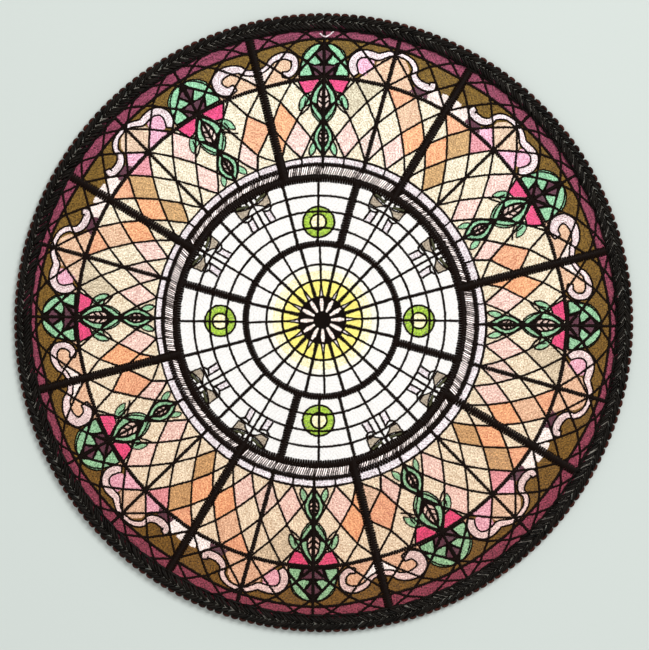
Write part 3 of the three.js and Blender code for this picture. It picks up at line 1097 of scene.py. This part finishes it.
def build_thread_group():
    group = new_group("Twisted thread", THREAD_INPUTS, THREAD_OUTPUTS)
    links = group.links
    given = node(group, "NodeGroupInput").outputs
    out = node(group, "NodeGroupOutput").inputs
    stitch = node(group, "ShaderNodeAttribute", "Tone of each stitch", attribute_name="tone")
    tone = stitch.outputs["Fac"]
    place = node(group, "ShaderNodeTexCoord").outputs["Object"]
    uv = node(group, "ShaderNodeUVMap", "Along and across the thread", uv_map="thread")
    split = node(group, "ShaderNodeSeparateXYZ")
    links.new(uv.outputs[0], split.inputs[0])
    along, edge = split.outputs[0], split.outputs[1]

    shade = thread_shade(group, given, tone, place, edge)
    dark = maths(group, "MAXIMUM", maths(group, "MULTIPLY", shade, -1.0), 0.0, "Darker share")
    light = maths(group, "ADD", 1.0, maths(group, "MAXIMUM", shade, 0.0), "Lighter share")
    shaded = colour_mix(group, dark, given["Colour"], given["Shadow Colour"], "Towards the shadow colour")
    # Painted shade: the colour is tinted darker and warmer towards the bottom of the cloth.
    painted_lower_shade = colour_mix(group, lower_shade_share(group, place), shaded, given["Lower Shade Tint"], "Darker warmer painted shade below",
                      blend_type="MULTIPLY")
    bright = node(group, "ShaderNodeVectorMath", "Lift the light stitches", operation="SCALE")
    links.new(painted_lower_shade, bright.inputs[0])
    links.new(light, bright.inputs["Scale"])

    ripple = ply_ripple(group, along, edge)
    height = maths(group, "MULTIPLY", ripple, given["Twist Depth"], "Height of the plies")
    roughness = maths(group, "ADD", SMOOTHEST, maths(group, "MULTIPLY", tone, ROUGHER_BY))
    for label, result in (("Colour", bright.outputs[0]), ("Height", height), ("Roughness", roughness)):
        links.new(result, out[label])
    return group


thread_group = build_thread_group()
print("Node group:", thread_group.name, "with", len(thread_group.nodes), "nodes")

# %% [markdown]
# Each colour of thread is one material: the shared group gives the pattern, and the shader itself
# holds what is the same everywhere, such as how strongly rayon reflects.
# Colours are given as they look on screen and turned into the linear values that light needs.

# %% Thread materials
def linear(red, green, blue):
    """A screen colour from 0 to 255 as the renderer's linear colour."""
    def one(value):
        value /= 255
        return value / 12.92 if value <= 0.04045 else ((value + 0.055) / 1.055) ** 2.4
    return (one(red), one(green), one(blue), 1.0)


def new_material(name):
    """A material, its node tree and its main shader."""
    material = bpy.data.materials.new(name)
    material.use_nodes = True
    return material, material.node_tree, material.node_tree.nodes["Principled BSDF"]


def bump_normal(tree, shader, height, strength, depth):
    """Raises the surface where the height is more. A height of 1 stands for a depth in millimetres."""
    bump = node(tree, "ShaderNodeBump")
    bump.inputs["Strength"].default_value = strength
    bump.inputs["Distance"].default_value = depth * MM
    tree.links.new(height, bump.inputs["Height"])
    tree.links.new(bump.outputs["Normal"], shader.inputs["Normal"])


# Painted shade: the tint that darkens and warms the thread towards the bottom of the cloth.
LOWER_SHADE_TINT = (0.83, 0.62, 0.52, 1.0)
PLY_STRENGTH, PLY_DEPTH = 0.25, 0.04


def thread_material(name, colour, shadow, painted_lower_shade=WHITE, variation=0.45, drift=0.16, grain=3.0,
                    specular=0.4, metallic=0.0):
    material, tree, shader = new_material(name)
    group = node(tree, "ShaderNodeGroup", "Twisted thread", node_tree=thread_group)
    values = {"Colour": linear(*colour), "Shadow Colour": linear(*shadow), "Lower Shade Tint": painted_lower_shade,
              "Stitch Variation": variation, "Drift": drift, "Grain": grain}
    for label, value in values.items():
        group.inputs[label].default_value = value
    bump_normal(tree, shader, group.outputs["Height"], PLY_STRENGTH, PLY_DEPTH)
    tree.links.new(group.outputs["Colour"], shader.inputs["Base Color"])
    tree.links.new(group.outputs["Roughness"], shader.inputs["Roughness"])
    shader.inputs["Specular IOR Level"].default_value = specular
    shader.inputs["Metallic"].default_value = metallic
    return material


# %% [markdown]
# Each thread has two colours: the one it shows to the light, and the one painted in its shadows, which is
# a deeper tone of the same hue, because light comes through rayon. The threads of the sun, the
# skylight and the silver ring take no painted shade towards the bottom, and neither does the black.
# A few differ in their shine or are calmer than the rest.

# %% Colours of the threads
PALE_COLOURS = {
    "white": ((251, 249, 245), (200, 192, 188)),
    "warm_white": ((254, 251, 238), (205, 198, 175)),
    "rose_white": ((238, 228, 231), (165, 140, 145)),
    "petal": ((252, 237, 228), (190, 160, 150)),
    "yellow": ((254, 243, 128), (240, 208, 70)),
    "pale_yellow": ((254, 249, 208), (225, 208, 130)),
    "lime": ((166, 201, 55), (70, 100, 10)),
    "beige": ((178, 163, 142), (95, 72, 48)),
    "moss": ((62, 64, 24), (15, 15, 5)),
    "silver": ((236, 222, 217), (60, 44, 40)),
}
# These threads take the painted shade towards the bottom of the cloth.
LOWER_SHADED_COLOURS = {
    "blush": ((246, 226, 216), (150, 105, 95)),
    "scroll": ((249, 236, 240), (160, 120, 125)),
    "cream": ((247, 244, 220), (190, 155, 105)),
    "pink": ((252, 230, 221), (200, 125, 115)),
    "pale_pink": ((246, 231, 221), (190, 135, 115)),
    "orange": ((251, 196, 146), (212, 95, 45)),
    "peach": ((240, 207, 175), (185, 120, 75)),
    "salmon": ((247, 192, 151), (195, 95, 55)),
    "gold": ((213, 175, 119), (130, 85, 30)),
    "khaki": ((225, 218, 191), (145, 120, 75)),
    "tan": ((239, 213, 187), (155, 115, 70)),
    "rose": ((240, 167, 178), (165, 60, 70)),
    "orchid": ((249, 198, 222), (190, 90, 130)),
    "olive": ((126, 98, 39), (50, 32, 3)),
    "plum": ((148, 70, 95), (50, 12, 25)),
    "dark_plum": ((94, 39, 62), (20, 5, 15)),
    "mint": ((157, 223, 178), (35, 105, 62)),
    "magenta": ((242, 76, 137), (150, 15, 60)),
}
SPECIAL = {
    "white": {"variation": 0.12, "grain": 0.9},
    "warm_white": {"variation": 0.2, "grain": 1.2},
    "yellow": {"grain": 1.8},
    "silver": {"variation": 1.6, "metallic": 0.2},
    "olive": {"specular": 0.15, "grain": 3.6},
    "plum": {"specular": 0.15, "grain": 3.6},
}
materials = {}
for name, pair in PALE_COLOURS.items():
    materials[name] = thread_material(name + "_thread", *pair, **SPECIAL.get(name, {}))
for name, pair in LOWER_SHADED_COLOURS.items():
    materials[name] = thread_material(name + "_thread", *pair, painted_lower_shade=LOWER_SHADE_TINT, **SPECIAL.get(name, {}))
black_thread = thread_material("black_thread", (18, 8, 4), (4, 2, 2), variation=0.3, grain=1.6,
                               specular=0.05)
print(len(materials) + 1, "thread materials")

# %% [markdown]
# Now each thread's stitches become one mesh. Five of them take the place of a CAD solid each,
# and the others lie beside those.
# One mesh could hold all the colours, but a piece for each thread keeps one material to one piece.

# %% Make the stitched pieces
STANDS_FOR = {
    "white": "skylight_stitching",
    "silver": "silver_band_stitching",
    "cream": "lattice_stitching",
    "olive": "border_stitching",
    "black_bars": "black_outline_stitching",
}

for thread, batches in sorted(sewn.items()):
    black = thread.startswith("black_")
    piece = stitched_mesh(thread + ("_lines" if black else "_stitching_rows"), batches)
    piece.data.materials.append(black_thread if black else materials[thread])
    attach(piece, "root")
    if thread in STANDS_FOR:
        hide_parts(STANDS_FOR[thread])
    print(f"{piece.name}: {len(piece.data.polygons) * 2} triangles")

# %% [markdown]
# The braid is a gimp: cords that run in from both edges and meet in a row of chevrons, with a small
# looped scallop wherever a cord turns at the outer edge.
# Each cord is a bent tube. One function sweeps a round section along many paths at once.

# %% Bent cords
CORD_SIDES = 6
TAPER_POWER, LEAST_TAPER = 6, 0.04


def tube_faces(index):
    """The sides and the two ends of six-sided tubes, from the numbers of their points."""
    over = np.roll(index, -1, axis=2)
    sides = np.stack([index[:, :-1], index[:, 1:], over[:, 1:], over[:, :-1]], axis=-1)
    caps = [index[:, 0, [0, 1, 2, 3]], index[:, 0, [0, 3, 4, 5]],
            index[:, -1, [3, 2, 1, 0]], index[:, -1, [5, 4, 3, 0]]]
    return np.concatenate([sides.reshape(-1, 4), *caps])


def tube_points(paths, radius):
    """Rings of points round many paths at once, thinner towards both ends of each."""
    along = np.gradient(paths, axis=1)
    along /= np.linalg.norm(along, axis=2, keepdims=True)
    out = np.cross(along, np.array([0, 0, 1.0]))
    out /= np.maximum(np.linalg.norm(out, axis=2, keepdims=True), TINY)
    up = np.cross(out, along)
    turn = np.arange(CORD_SIDES) / CORD_SIDES * 2 * np.pi
    cosine, sine = np.cos(turn)[None, None, :, None], np.sin(turn)[None, None, :, None]
    fullness = 1 - np.abs(np.linspace(-1, 1, paths.shape[1])) ** TAPER_POWER
    taper = np.sqrt(np.clip(fullness, LEAST_TAPER, 1))
    section = out[:, :, None] * cosine + up[:, :, None] * sine
    return paths[:, :, None] + section * (radius * taper)[None, :, None, None], np.sin(turn)


def cords(paths, radius):
    """Closed tubes along paths of equally many points: their points, faces, tones and maps."""
    paths = np.asarray(paths, float)
    count, rows = paths.shape[:2]
    points, upward = tube_points(paths, radius)
    index = np.arange(count * rows * CORD_SIDES).reshape(count, rows, CORD_SIDES)
    tone = np.broadcast_to(rng.random(count)[:, None, None], index.shape)
    length = np.linalg.norm(np.diff(paths, axis=1), axis=2).sum(1)
    run = length[:, None] * np.linspace(0, 1, rows)[None]
    run = np.broadcast_to(run[:, :, None], index.shape)
    across = np.broadcast_to(1 - np.abs(upward), index.shape)
    thread_map = np.stack([run.reshape(-1), across.reshape(-1)], axis=1)
    return points.reshape(-1, 3), tube_faces(index), tone.reshape(-1), thread_map


def joined(parts):
    """Several sets of cords as one, with the faces of each pointing to its own points."""
    points, faces, tones, maps, first = [], [], [], [], 0
    for part_points, part_faces, part_tones, part_maps in parts:
        points.append(part_points)
        faces.append(part_faces + first)
        tones.append(part_tones)
        maps.append(part_maps)
        first += len(part_points)
    return [np.concatenate(values) for values in (points, faces, tones, maps)]


# %% [markdown]
# With bent cords the braid is only a matter of paths. From each edge, two plies for every scallop
# run slanting to the middle, where both sides meet in a row of chevrons. A cord runs along each edge,
# and the loops stand out beyond the outer one. No two cords of a real plait lie quite alike,
# so each slanting one starts a little early or late.

# %% Paths of the braid's cords
SCALLOPS = 224
STEP = 360 / SCALLOPS
PLIES = 2
CORD_POINTS = 6
CORD_RADIUS, CORD_JITTER = 0.42, 0.13
CORD_BASE, CORD_ARCH, CORD_FALL = 1.15, 0.95, 0.25
ARCH_START, ARCH_SHARE = 0.12, 0.76
EDGE_POINTS, EDGE_OVERLAP = 5, 0.08
LOOP_POINTS, LOOP_GAP, LOOP_RADIUS = 7, 0.04, 0.5
LOOP_ROOT, LOOP_REACH, LOOP_ROUNDNESS = braid_tip - 1.2, 0.7, 0.7
LOOP_BASE, LOOP_RISE = 0.55, 0.35


def at_height(flat, height):
    """Flat points raised to a height, or to a height for each."""
    return np.concatenate([flat, np.broadcast_to(height, len(flat))[:, None]], axis=1)


def chevron_cords(inner, outer, lean):
    """Cords from an edge of the braid to its middle, one set for each scallop."""
    paths = []
    share = np.linspace(0, 1, CORD_POINTS)
    arch = np.sin(np.pi * (ARCH_START + ARCH_SHARE * share))
    height = cloth_top + CORD_BASE + CORD_ARCH * arch - CORD_FALL * share
    for k in range(SCALLOPS):
        for ply in range(PLIES):
            start = STEP * (k + ply / PLIES + rng.uniform(-CORD_JITTER, CORD_JITTER))
            radius = outer + (inner - outer) * share + rng.uniform(-CORD_JITTER, CORD_JITTER)
            paths.append(at_height(polar(radius, start + lean * STEP * share), height))
    return cords(paths, CORD_RADIUS)


def edge_ring(radius, height, thick):
    """One closed ring of cord in many short lengths."""
    paths = []
    for k in range(SCALLOPS // 2):
        angle = 2 * STEP * (k + np.linspace(-EDGE_OVERLAP, 1 + EDGE_OVERLAP, EDGE_POINTS))
        paths.append(at_height(polar(radius, angle), height))
    return cords(paths, thick)


def scallop_loops():
    paths = []
    bow = np.sin(np.pi * np.linspace(0, 1, LOOP_POINTS))
    for k in range(SCALLOPS):
        angle = STEP * (k + np.linspace(LOOP_GAP, 1 - LOOP_GAP, LOOP_POINTS))
        radius = LOOP_ROOT + LOOP_REACH * bow ** LOOP_ROUNDNESS
        paths.append(at_height(polar(radius, angle), cloth_top + LOOP_BASE + LOOP_RISE * bow))
    return cords(paths, LOOP_RADIUS)


# %% The braid
BRAID_MIDDLE = braid_inside + 2.5
CHEVRON_LEAN, CHEVRON_OVERLAP = 1.5, 0.1
CHEVRONS = ((BRAID_MIDDLE - CHEVRON_OVERLAP, braid_tip - 1.0),
            (BRAID_MIDDLE + CHEVRON_OVERLAP, braid_inside - 0.3))
EDGES = ((braid_inside - 0.25, cloth_top + 0.9, 0.5), (braid_tip - 1.5, cloth_top + 0.8, 0.6))
BRAID_FINISH = {"variation": 0.9, "drift": 0.6, "grain": 2.4, "specular": 0.06}

braid_parts = [chevron_cords(inner, outer, CHEVRON_LEAN) for inner, outer in CHEVRONS]
braid_parts += [edge_ring(radius, height, thick) for radius, height, thick in EDGES]
braid = mesh_of("plaited_braid", *joined(braid_parts))
loops = mesh_of("braid_scallops", *scallop_loops())
braid_black = thread_material("braid_cord", (22, 19, 16), (3, 3, 3), **BRAID_FINISH)
braid_brown = thread_material("braid_edge_cord", (58, 27, 21), (8, 3, 3), **BRAID_FINISH)
braid.data.materials.append(braid_black)
loops.data.materials.append(braid_brown)
for piece in (braid, loops):
    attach(piece, "root")
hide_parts("braid_edging")
print("Braid:", len(braid.data.polygons) + len(loops.data.polygons), "faces")

# %% [markdown]
# Under it all lies the ground cloth, a twill stiffened with a stabiliser. It shows only at the edge
# and from behind, so weaving it yarn by yarn would be wasted. It is a thin closed disc,
# with its weave in the material.

# %% The ground cloth's shape
CLOTH_HUB, CLOTH_RIM = 0.5, 0.35
CLOTH_RINGS = (CLOTH_HUB, 20.0, 40.0, 60.0, 80.0, 95.0, cloth_radius - 0.4, cloth_radius)
CLOTH_SIDES = 128


def cloth_caps(row):
    """Quads across the middle of a ring of points."""
    quads = []
    for k in range(CLOTH_SIDES // 2 - 1):
        quads.append([row[k], row[k + 1], row[CLOTH_SIDES - 2 - k], row[CLOTH_SIDES - 1 - k]])
    return np.array(quads)


def cloth_disc():
    """A disc with a rounded rim: rings of points over the top, down the rim and back under."""
    upper = [(r, cloth_top if r < cloth_radius else cloth_top - CLOTH_RIM) for r in CLOTH_RINGS]
    lower = [(r, 0.0 if r < cloth_radius else CLOTH_RIM) for r in reversed(CLOTH_RINGS)]
    angles = np.arange(CLOTH_SIDES) / CLOTH_SIDES * 360
    points = np.concatenate([at_height(polar(r, angles), z) for r, z in upper + lower])
    index = np.arange(len(points)).reshape(-1, CLOTH_SIDES)
    over = np.roll(index, -1, axis=1)
    sides = np.stack([index[:-1], index[1:], over[1:], over[:-1]], axis=-1).reshape(-1, 4)
    faces = np.concatenate([sides, cloth_caps(index[0]), cloth_caps(index[-1])[:, ::-1]])
    return points, faces, np.full(len(points), 0.5), points[:, :2]


# %% The ground cloth's weave
TWILL_SCALE, TWILL_BEND = 700.0, 0.6
YARN_SCALE, YARN_DETAIL = 900.0, 2.0
TWILL_STRENGTH, TWILL_DEPTH = 0.5, 0.1
TWILL_ROUGHNESS = 0.9


def cloth_material():
    material, tree, shader = new_material("cotton_twill")
    place = node(tree, "ShaderNodeTexCoord").outputs["Object"]
    weave = node(tree, "ShaderNodeTexWave", "Twill lines", bands_direction="DIAGONAL")
    weave.inputs["Scale"].default_value = TWILL_SCALE
    weave.inputs["Distortion"].default_value = TWILL_BEND
    tree.links.new(place, weave.inputs["Vector"])
    uneven = noise(tree, place, YARN_SCALE, YARN_DETAIL, "Uneven yarn")
    height = maths(tree, "ADD", weave.outputs["Fac"], uneven, "Yarn height")
    colour = colour_mix(tree, weave.outputs["Fac"], linear(214, 205, 188), linear(240, 234, 222),
                        "Yarn colour")
    bump_normal(tree, shader, height, TWILL_STRENGTH, TWILL_DEPTH)
    tree.links.new(colour, shader.inputs["Base Color"])
    shader.inputs["Roughness"].default_value = TWILL_ROUGHNESS
    return material


cloth = mesh_of("twill_ground", *cloth_disc())
cloth.data.materials.append(cloth_material())
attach(cloth, "root")
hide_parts("ground_cloth")

# %% [markdown]
# The round lies on a pale floor and the camera looks straight down on it, as in a catalogue picture.
# One large soft lamp stands high at the upper right, so the thread shines paler on that side,
# a weaker one hangs overhead, and an even sky lights the rest.

# %% The floor
FLOOR_SIZE = 3.0
FLOOR_ROUGHNESS = 0.9


def stage_floor():
    mesh = bpy.data.meshes.new("pale_floor")
    half = FLOOR_SIZE / 2
    corners = [(-half, -half, 0), (half, -half, 0), (half, half, 0), (-half, half, 0)]
    mesh.from_pydata(corners, [], [(0, 1, 2, 3)])
    floor = bpy.data.objects.new("pale_floor", mesh)
    bpy.context.scene.collection.objects.link(floor)
    material, _, shader = new_material("pale_floor_paint")
    shader.inputs["Base Color"].default_value = linear(207, 215, 210)
    shader.inputs["Roughness"].default_value = FLOOR_ROUGHNESS
    floor.data.materials.append(material)


stage_floor()

# %% Lamps and sky
SKY_STRENGTH = 0.35


def soft_lamp(name, place, size, power):
    """A square area lamp aimed at the origin. Its place and size are metres, its power watts."""
    data = bpy.data.lights.new(name, "AREA")
    data.shape = "SQUARE"
    data.size = size
    data.energy = power
    lamp = bpy.data.objects.new(name, data)
    lamp.location = place
    lamp.rotation_mode = "QUATERNION"
    lamp.rotation_quaternion = (-mathutils.Vector(place)).to_track_quat("-Z", "Y")
    bpy.context.scene.collection.objects.link(lamp)


soft_lamp("key_lamp", (0.75, 0.9, 1.7), 0.9, 30.0)
soft_lamp("overhead_lamp", (-0.2, -0.1, 1.6), 1.6, 7.0)
world = bpy.data.worlds.new("even_sky")
world.use_nodes = True
sky = world.node_tree.nodes["Background"]
sky.inputs["Color"].default_value = WHITE
sky.inputs["Strength"].default_value = SKY_STRENGTH
bpy.context.scene.world = world
bpy.context.scene.view_settings.view_transform = "Standard"

# %% The camera
FRAME_WIDTH = 223.0
VIEW_CENTRE = (0.27, -0.79)
LENS = 135.0

camera_data = bpy.data.cameras.new("camera_above")
camera_data.lens = LENS
camera = bpy.data.objects.new("camera_above", camera_data)
distance = FRAME_WIDTH * MM * LENS / camera_data.sensor_width
camera.location = (VIEW_CENTRE[0] * MM, VIEW_CENTRE[1] * MM, distance)
bpy.context.scene.collection.objects.link(camera)
bpy.context.scene.camera = camera
print("Camera at", round(distance, 3), "m")
